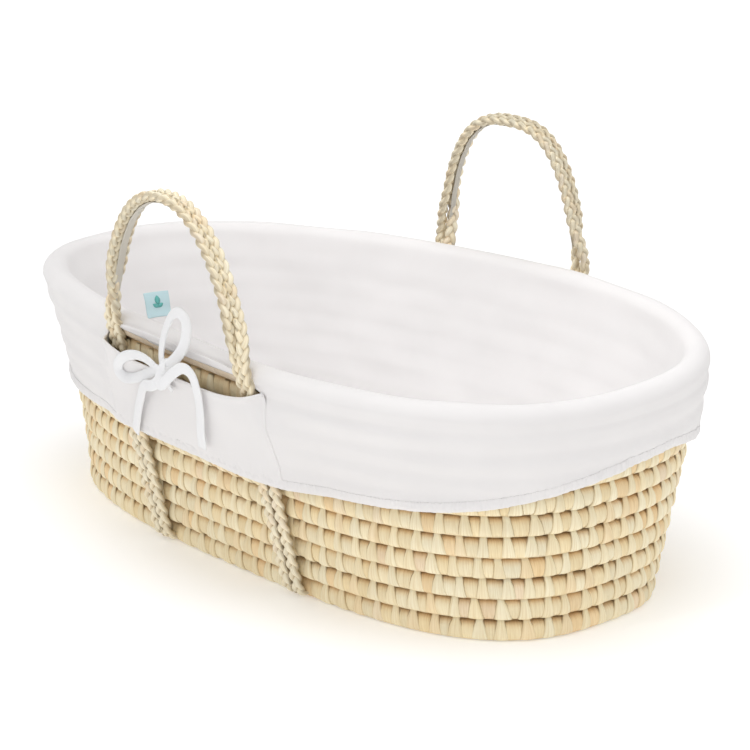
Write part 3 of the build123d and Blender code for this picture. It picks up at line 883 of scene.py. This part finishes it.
def make_liner():
    angle = even_angles(1.0, LINER_STEP - 4)
    corners = [angle_at_x(x, 1.0, side) % TAU for x in (-PANEL_HALF, PANEL_HALF) for side in (-1, 1)]
    angle = np.sort(np.concatenate([angle, corners]))
    x_rim = wall_centre(np.ones_like(angle), angle)[:, 0]
    rows = liner_profile(angle, x_rim)
    split = np.where(np.abs(x_rim) < PANEL_HALF, flap_edge(x_rim), SLOT_CORNER_Z)
    for k in np.linspace(0, 1, 7)[1:]:
        z = RIM_Z + (split - RIM_Z) * k
        rows.append(wall_point(angle, z, ROLL_R - 0.0004 * k))
    upper = len(rows)
    ends = np.abs(x_rim) >= PANEL_HALF - 1e-5
    hem = hem_height(angle)
    drop = 34
    for k in np.linspace(0, 1, drop + 1)[1:]:
        z = SLOT_CORNER_Z + (hem - SLOT_CORNER_Z) * k
        out = skirt_out(angle, z, x_rim)
        out = ROLL_R - 0.0004 + (out - ROLL_R + 0.0004) * smoothstep(0, 0.12, k)
        rows.append(wall_point(angle, z, out))
    points = np.concatenate(rows)
    all_faces = grid(len(rows), LINER_STEP, False, True)
    row_of = all_faces[:, 0] // LINER_STEP
    column = all_faces[:, 0] % LINER_STEP
    after = (column + 1) % LINER_STEP
    keep = (row_of < upper - 1) | (ends[column] & ends[after])
    liner = make_piece("cotton_liner", points, all_faces[keep], COTTON, "basket",
                       ["liner_wall", "rim_roll", "front_flap", "rear_flap", "foot_skirt", "head_skirt"])
    remove_loose(liner)
    modify(liner, "SOLIDIFY", thickness=0.0009, offset=-1.0)
    around = np.linalg.norm(np.diff(wall_centre(np.full(400, 0.9), np.linspace(0, TAU, 400)), axis=0),
                            axis=1).sum()


def remove_loose(piece):
    """Deletes points that no face uses."""
    mesh = piece.data
    used = sorted({i for p in mesh.polygons for i in p.vertices})
    index = {old: new for new, old in enumerate(used)}
    points = [mesh.vertices[i].co.copy() for i in used]
    faces = [[index[i] for i in p.vertices] for p in mesh.polygons]
    mesh.clear_geometry()
    mesh.from_pydata(points, [], faces)
    for polygon in mesh.polygons:
        polygon.use_smooth = True


def make_panels():
    """The flat pieces over the handle roots, between the slot's lower edge and the hem."""
    drop = 40
    xs = np.linspace(-PANEL_HALF - 0.0020, PANEL_HALF + 0.0020, 150)
    for name, side in (("front", -1), ("rear", 1)):
        angle = np.array([angle_at_x(x, 1.0, side) for x in xs])
        top, hem = panel_edge(xs), hem_height(angle)
        rows = []
        for k in np.linspace(0, 1, drop + 1):
            z = top + (hem - top) * k
            roll = 0.0012 * math.exp(-(k * drop / 1.6) ** 2)
            rows.append(wall_point(angle, z, skirt_out(angle, z, xs) + 0.0012 + roll))
        faces = grid(len(rows), len(xs))
        if side > 0:
            faces = faces[:, ::-1]
        panel = make_piece(f"{name}_cotton_panel", np.concatenate(rows), faces, COTTON, "basket",
                           [f"{name}_panel"])
        modify(panel, "SOLIDIFY", thickness=0.0010, offset=0.0)
        modify(panel, "SUBSURF", levels=1, render_levels=1)


def make_hem():
    """The elastic casing along the hem, with its seam line, gathered all the way round."""
    count = 900
    angle = even_angles(0.6, count)
    x = wall_centre(np.ones_like(angle), angle)[:, 0]
    hem = hem_height(angle)
    section = ((0.0108, 0.0001), (0.0102, 0.0007), (0.0086, 0.0008), (0.0050, 0.0020),
               (0.0015, 0.0018), (-0.0004, 0.0008), (-0.0002, -0.0008), (0.0020, -0.0012),
               (0.0060, -0.0010), (0.0098, -0.0008))
    rows = []
    run = angle * MEAN_RADIUS
    wave = np.sin(run * TAU / 0.0052 + 2.2 * noise_along(run, 0.03, 21))
    for up, out in section:
        z = hem + up
        base = skirt_out(angle, z, x) + 0.0006
        rows.append(wall_point(angle, z + 0.0004 * wave * (up < 0.009), base + out
                               + 0.0006 * wave * (0.001 < up < 0.009) * (out > 0)))
    points = np.stack(rows, 1).reshape(-1, 3)
    casing = make_piece("hem_elastic_casing", points, grid(count, len(section), True, True), COTTON,
                        "basket", ["hem_casing", "hem_elastic"])
    modify(casing, "SUBSURF", levels=1, render_levels=1)
    for height, label in ((0.0100, "upper"), (0.0008, "lower")):
        z = hem + height
        path = wall_point(angle, z, skirt_out(angle, z, x) + 0.0014)
        path = np.concatenate([path, path[:1]])
        points, faces = thread_run(path, 0.00025, 0.0034, 0.0026)
        make_piece(f"hem_{label}_stitching", points, faces, SEAM_COTTON, "basket")


def seam_strip(name, path, across, width, thickness):
    """A narrow raised strip of the liner's cotton; across is its width direction."""
    tape_strip(name, path, np.tile(np.array(across, float), (len(path), 1)), width, thickness, COTTON,
               "basket", ())


def make_seams():
    """Raised seams: the panel sides, the slot edges and two seams inside the liner."""
    level_way, upright = (1, 0, 0), (0, 0, 1)
    for name, side in (("front", -1), ("rear", 1)):
        for end, x in (("foot", -PANEL_HALF), ("head", PANEL_HALF)):
            angle = angle_at_x(x, 1.0, side)
            z = np.linspace(SLOT_CORNER_Z, float(hem_height(angle)) + 0.010, 40)
            angles, xs = np.full(40, angle), np.full(40, x)
            path = wall_point(angles, z, skirt_out(angles, z, xs) + 0.0014)
            seam_strip(f"{name}_panel_seam_{end}", path, level_way, 0.0030, 0.0014)
        xs = np.linspace(-PANEL_HALF, PANEL_HALF, 140)
        angles = np.array([angle_at_x(x, 1.0, side) for x in xs])
        z = panel_edge(xs)
        path = wall_point(angles, z, skirt_out(angles, z, xs) + 0.0016)
        seam_strip(f"{name}_panel_binding", path, upright, 0.0042, 0.0026)
        path = wall_point(angles, flap_edge(xs), np.full(140, ROLL_R))
        seam_strip(f"{name}_flap_binding", path, upright, 0.0036, 0.0022)
        for end, x in (("foot", -0.113), ("head", 0.085)):
            angles = angle_at_x(x, 0.6, side) + 0.004 * np.sin(np.linspace(0, 9, 60))
            z = np.linspace(0.03, RIM_Z - 0.004, 60)
            x_rim = wall_centre(np.ones(60), angles)[:, 0]
            path = wall_point(angles, z, inside_out(angles, z, x_rim) - 0.0002)
            seam_strip(f"{name}_inner_seam_{end}", path, level_way, 0.0026, 0.0010)


def make_floor_sheet():
    """The liner's floor, a flat oval of the same cotton with a soft edge."""
    rings, points = 14, []
    angle = np.linspace(0, TAU, 180, endpoint=False)
    for k in np.linspace(0.02, 1.0, rings):
        plan = wall_plan(np.full(180, level_at(FLOOR_TOP)), angle, -0.0128)
        middle = np.array([BASE_SHIFT, 0.0])
        xy = middle + (plan - middle) * k
        points.append(np.concatenate([xy, np.full((180, 1), FLOOR_TOP - 0.0002)], 1))
    floor = make_piece("liner_floor_sheet", np.concatenate(points), grid(rings, 180, False, True), COTTON,
                       "basket", ["liner_floor"])
    modify(floor, "SOLIDIFY", thickness=0.0008, offset=-1.0)


# ---- Mattress ----
PAD_POINTS = 240           # points round the mattress's edge


def make_mattress():
    """The padded cover and its piping; the foam core keeps its CAD shape."""
    low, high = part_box("mattress_cover")
    half = ((high[0] - low[0]) / 2 - 0.001, (high[1] - low[1]) / 2 - 0.001)
    middle = (high[0] + low[0]) / 2
    angle = np.linspace(0, TAU, PAD_POINTS, endpoint=False)
    edge = oval(angle, (half[0], half[1] / 1.02), BASE_POWERS, BASE_EGG, 0.0)
    thick = high[2] - low[2]
    profile = np.array([
        (0.0, 0.0), (0.35, 0.0), (0.7, 0.0), (0.9, 0.0), (0.965, 0.0010), (0.986, 0.0040),
        (0.997, 0.010), (1.0, 0.5 * thick), (0.998, thick - 0.014), (0.990, thick - 0.0075),
        (0.976, thick - 0.0035), (0.950, thick - 0.0012), (0.90, thick - 0.0002), (0.80, thick + 0.0003),
        (0.65, thick + 0.0008), (0.45, thick + 0.001), (0.25, thick + 0.001), (0.0, thick + 0.001)])
    steps = np.linspace(0, len(profile) - 1, 3 * len(profile) - 2)[1:-1]
    index = np.arange(len(profile))
    rows = []
    for k, up in zip(np.interp(steps, index, profile[:, 0]), np.interp(steps, index, profile[:, 1])):
        xy = edge * k + np.array([middle, 0])
        crease = 0.0008 * soft_noise(np.stack([xy[:, 0], xy[:, 1], np.full(PAD_POINTS, up)], -1),
                                     (0.12, 0.09, 1.0), 31) * (up > 0.02)
        rows.append(np.concatenate([xy, (low[2] + up + crease)[:, None]], 1))
    points = np.concatenate(rows + [[(middle, 0, low[2]), (middle, 0, high[2])]])
    bottom, top = PAD_POINTS * len(rows), PAD_POINTS * len(rows) + 1
    last = bottom - PAD_POINTS
    faces = grid(len(rows), PAD_POINTS, False, True).tolist()
    faces += [[(j + 1) % PAD_POINTS, j, bottom] for j in range(PAD_POINTS)]
    faces += [[last + j, last + (j + 1) % PAD_POINTS, top] for j in range(PAD_POINTS)]
    cover = make_piece("mattress_fitted_cover", points, faces, MATTRESS_COTTON, "mattress",
                       ["mattress_cover"])
    for label, z in (("top", high[2] - 0.0055), ("bottom", low[2] + 0.0050)):
        xy = edge * 0.9945 + np.array([middle, 0])
        path = np.concatenate([xy, np.full((PAD_POINTS, 1), z)], 1)
        path = np.concatenate([path, path[:2]])
        width = np.tile([0, 0, 1.0], (len(path), 1))
        tape_strip(f"mattress_piping_{label}", path, width, 0.0026, 0.0026, MATTRESS_COTTON,
                   "mattress", ())
    core_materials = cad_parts["mattress_core"].data.materials
    core_materials.clear()
    core_materials.append(FOAM)


# ---- Label ----
def make_label():
    """A small pale-blue satin label with a plain two-leaf sprig."""
    low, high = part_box("woven_label")
    centre = (np.array(low) + np.array(high)) / 2
    angles = np.linspace(0, math.pi, 900)
    level = level_at(centre[2])
    plan = wall_centre(np.full(900, level), angles)
    angle = angles[np.argmin(np.linalg.norm(plan - centre[:2], axis=1))]
    across, tall = 0.033, 0.028
    speed = np.linalg.norm(wall_centre(np.array(level), np.array(angle + 0.01))
                           - wall_centre(np.array(level), np.array(angle - 0.01))) / 0.02

    def place(u, v, out):
        """u across and v up the label, from -1 to 1."""
        a = angle + u * across / 2 / speed
        z = centre[2] + 0.005 + v * tall / 2
        x_rim = wall_centre(np.ones_like(a), a)[..., 0]
        return wall_point(a, z, inside_out(a, z, x_rim) - 0.0006 - out)
    u, v = np.meshgrid(np.linspace(-1, 1, 24), np.linspace(-1, 1, 20))
    curl = 0.0012 * np.abs(u) ** 3 * (v < 0) * v ** 2 + 0.0003
    points = place(u.ravel(), v.ravel(), curl.ravel())
    patch = make_piece("satin_label", points, grid(20, 24), LABEL_SATIN, "basket", ["woven_label"])
    modify(patch, "SOLIDIFY", thickness=0.0006, offset=0.0)
    points, faces = [], []
    t = np.linspace(0, 1, 13)
    for tilt, size, shift in ((0.0, 0.75, 0.05), (1.0, 0.55, -0.20), (-1.0, 0.55, -0.20)):
        half = 0.30 * size * np.sin(math.pi * t) ** 0.8
        up = size * (t - 0.1)
        faces += grid(3, 13, first=13 * len(points)).tolist()
        for side, out in ((-1, 0.0007), (0, 0.0011), (1, 0.0007)):
            turned_u = side * half * math.cos(tilt) + up * math.sin(tilt)
            turned_v = up * math.cos(tilt) - side * half * math.sin(tilt) + shift
            points.append(place(turned_u, turned_v, np.full(13, out)))
    sprig = make_piece("label_sprig", np.concatenate(points), faces, LABEL_THREAD, "basket", ())
    modify(sprig, "SOLIDIFY", thickness=0.0003, offset=0.0)


# ---- Ties ----
FRONT_UPPER_TIE = [
    (6, -240, 243), (8, -246, 234), (5, -252, 227), (-1, -255, 231), (-4, -254, 240),
    (-5, -252, 250), (-5, -249, 262), (-1, -247, 275), (7, -248, 285), (19, -250, 289),
    (30, -252, 284), (34, -254, 272), (31, -255, 258), (23, -256, 246), (13, -258, 236),
    (6, -261, 227), (4, -265, 219), (11, -268, 215), (19, -268, 223), (28, -266, 233),
    (39, -264, 241), (50, -262, 236), (53, -258, 220), (50, -252, 203), (45, -246, 186),
    (39, -240, 168), (36, -235, 151),
]
REAR_UPPER_TIE = [
    (2, -241, 236), (3, -247, 229), (9, -251, 224), (19, -253, 228), (32, -252, 229),
    (46, -257, 225), (59, -255, 217), (68, -252, 207), (69, -249, 197), (62, -248, 191),
    (49, -249, 195), (34, -251, 204), (19, -253, 214), (6, -257, 221), (-3, -261, 220),
    (-5, -265, 212), (4, -264, 206), (16, -258, 200), (27, -251, 189), (34, -245, 175),
    (38, -238, 159), (41, -233, 144),
]
LOWER_TIE = [
    (-2, -243, 204), (-2, -249, 212), (-7, -252, 221), (-20, -253, 229), (-38, -250, 231),
    (-59, -245, 227), (-79, -239, 218), (-93, -233, 208), (-96, -230, 198), (-87, -230, 193),
    (-69, -234, 197), (-48, -242, 206), (-26, -249, 217), (-8, -256, 226), (2, -261, 225),
    (3, -265, 216), (-8, -264, 210), (-23, -257, 206), (-39, -247, 198), (-53, -237, 184),
    (-66, -229, 168), (-79, -220, 149), (-91, -211, 131),
]
KNOTS = {"front": (8, -256, 231), "rear": (0, -256, 222)}


def nurbs_points(name, route, side):
    """Points along the smooth line of a route, in metres; side mirrors it to the rear."""
    curve = bpy.data.curves.new(name, "CURVE")
    curve.dimensions = "3D"
    curve.resolution_u = 24
    spline = curve.splines.new("NURBS")
    spline.points.add(len(route) - 1)
    for point, (x, y, z) in zip(spline.points, route):
        point.co = (x / 1000, -side * y / 1000, z / 1000, 1)
    spline.order_u = 3
    spline.use_endpoint_u = True
    holder = add_object(name, curve)
    graph = bpy.context.evaluated_depsgraph_get()
    mesh = bpy.data.meshes.new_from_object(holder.evaluated_get(graph))
    points = np.array([v.co[:] for v in mesh.vertices])
    bpy.data.objects.remove(holder)
    bpy.data.meshes.remove(mesh)
    return points


def tie_mesh(path, side, loop_until):
    """A soft flat tube that turns on edge round its loop and hangs flat in its tail."""
    path, s = resample(path, 0.0012)
    tangent = unit(np.gradient(path, axis=0))
    outward = np.array([0.0, side, 0.0])
    flat = unit(np.cross(tangent, outward))
    flat = unit(smooth_rows(flat, 8))
    normal = unit(np.cross(flat, tangent))
    k = s / s[-1]
    on_edge = (1 - smoothstep(loop_until - 0.06, loop_until + 0.06, k)) * 0.32
    wide = flat * np.cos(on_edge)[:, None] + normal * np.sin(on_edge)[:, None]
    thin = normal * np.cos(on_edge)[:, None] - flat * np.sin(on_edge)[:, None]
    shape = np.linspace(0, TAU, 16, endpoint=False)
    plump = 1 + 0.05 * np.sin(s / 0.006) + 0.04 * np.sin(s / 0.0023 + 1)
    half_wide = 0.0056 * (1 + 0.08 * smoothstep(loop_until, 1.0, k))
    half_thin = 0.0018 * (1 - 0.35 * smoothstep(loop_until, 1.0, k))
    a = signed_power(np.cos(shape), 0.7)
    b = signed_power(np.sin(shape), 0.9)
    points = sweep(path, wide, thin, a * half_wide[:, None], b * (half_thin * plump)[:, None])
    return points, tube_faces(len(s), 16)


def make_ties():
    for name, side in (("front", -1), ("rear", 1)):
        knot = make_knot(name, side)
        upper = FRONT_UPPER_TIE if name == "front" else REAR_UPPER_TIE
        for label, route, loop_until in (("upper", upper, 0.56), ("lower", LOWER_TIE, 0.60)):
            path = nurbs_points(f"{name}_{label}_line", route, side)
            points, faces = tie_mesh(path, side, loop_until)
            tie = make_piece(f"{name}_{label}_cotton_tie", points, faces, TIE_COTTON, "basket",
                             [f"{name}_{label}_tie"])


def make_knot(name, side):
    """The knot: two bands wrapped over the crossing of the ties."""
    x, y, z = KNOTS[name]
    centre = np.array([x, -side * y, z]) / 1000
    shape = np.linspace(0, TAU, 14, endpoint=False)
    turn = np.linspace(0, TAU, 40, endpoint=False)
    along = np.tile([1.0, 0, 0], (40, 1))
    rings, faces = [], []
    for tilt, radius, deep, wide in ((0.35, 0.0078, 0.0068, 0.0050), (1.25, 0.0066, 0.0058, 0.0044)):
        loop = np.stack([0 * turn, deep * np.cos(turn), radius * np.sin(turn)], 1)
        ring = sweep(loop, along, unit(loop), wide * np.cos(shape)[None, :], 0.0017 * np.sin(shape)[None, :])
        c, s = math.cos(tilt), math.sin(tilt)
        faces += grid(40, 14, True, True, 560 * len(rings)).tolist()
        rings.append(ring @ np.array([[c, 0, s], [0, 1, 0], [-s, 0, c]]) + centre)
    knot = make_piece(f"{name}_tie_knot", np.concatenate(rings), faces, TIE_COTTON, "basket",
                      [f"{name}_bow_knot"])
    modify(knot, "SUBSURF", levels=1, render_levels=1)
    return knot


# ---- Stage ----
CAMERA_PLACE = (2.7257, -2.6495, 1.3729)
CAMERA_YAW, CAMERA_PITCH, CAMERA_ROLL = 0.7928, 0.3067, 0.0199
CAMERA_LENS = 186.5


def make_camera():
    cy, sy = math.cos(CAMERA_YAW), math.sin(CAMERA_YAW)
    cp, sp = math.cos(CAMERA_PITCH), math.sin(CAMERA_PITCH)
    forward = Vector((-sy * cp, cy * cp, -sp))
    right = Vector((cy, sy, 0))
    up = right.cross(forward)
    cr, sr = math.cos(CAMERA_ROLL), math.sin(CAMERA_ROLL)
    right, up = right * cr + up * sr, up * cr - right * sr
    data = bpy.data.cameras.new("camera")
    data.lens = CAMERA_LENS
    data.clip_end = 50
    camera = add_object("camera", data)
    turn = Matrix((right, up, -forward)).transposed()
    camera.matrix_world = Matrix.Translation(CAMERA_PLACE) @ turn.to_4x4()
    bpy.context.scene.camera = camera


def add_light(name, kind, place, target, power, **settings):
    data = bpy.data.lights.new(name, kind)
    data.energy = power
    for key, value in settings.items():
        setattr(data, key, value)
    light = add_object(name, data)
    light.location = place
    light.rotation_euler = (Vector(target) - Vector(place)).to_track_quat("-Z", "Y").to_euler()


SNOOTS = {  # narrow lights through the opening, that lift the inside of the liner only
    "foot": ((-0.25, -1.5, 2.2), (-0.22, 0.17, 0.15)),
    "middle": ((0.05, -1.5, 2.2), (0.04, 0.19, 0.15)),
    "rear": ((0.30, -1.5, 2.2), (0.27, 0.16, 0.15)),
    "head": ((-1.0, -0.6, 2.2), (0.33, 0.03, 0.15)),
}


def make_stage():
    mesh = bpy.data.meshes.new("floor")
    mesh.from_pydata([(-30, -30, 0), (30, -30, 0), (30, 30, 0), (-30, 30, 0)], [], [(0, 1, 2, 3)])
    floor = add_object("floor", mesh)
    floor.location.z = -0.0003
    material, tree, shader = node_material("pale_floor")
    place = add_node(tree, "NewGeometry", {}).outputs["Position"]
    distance = add_node(tree, "VectorMath", {0: place}, operation="LENGTH").outputs["Value"]
    glow = add_node(tree, "MapRange", {"Value": distance, "From Min": 0.6, "From Max": 2.6,
                                       "To Min": 0.24, "To Max": 0.47}).outputs["Result"]
    set_inputs(tree, shader, {"Base Color": (0.93, 0.93, 0.93, 1), "Emission Color": (1, 1, 1, 1),
                              "Emission Strength": glow, "Roughness": 0.9, "Specular IOR Level": 0.1})
    mesh.materials.append(material)
    world = bpy.data.worlds.new("studio")
    bpy.context.scene.world = world
    world.use_nodes = True
    background = world.node_tree.nodes["Background"]
    background.inputs["Color"].default_value = (1, 1, 1, 1)
    background.inputs["Strength"].default_value = 0.64
    add_light("key", "AREA", (0.3, -0.5, 3.4), (0, 0, 0.1), 43, shape="DISK", size=2.6)
    add_light("fill", "AREA", (1.9, -2.5, 1.4), (0, 0, 0.1), 3, shape="DISK", size=2.5)
    for name, (place, target) in SNOOTS.items():
        add_light(f"snoot_{name}", "SPOT", place, target, 39, spot_size=math.radians(10.5),
                  spot_blend=0.8, shadow_soft_size=0.12)
    bpy.context.scene.view_settings.view_transform = "Standard"


make_camera()
make_stage()
make_ties()
make_coils()
make_straps()
make_handles()
make_liner()
make_panels()
make_hem()
make_seams()
make_floor_sheet()
make_mattress()
make_label()
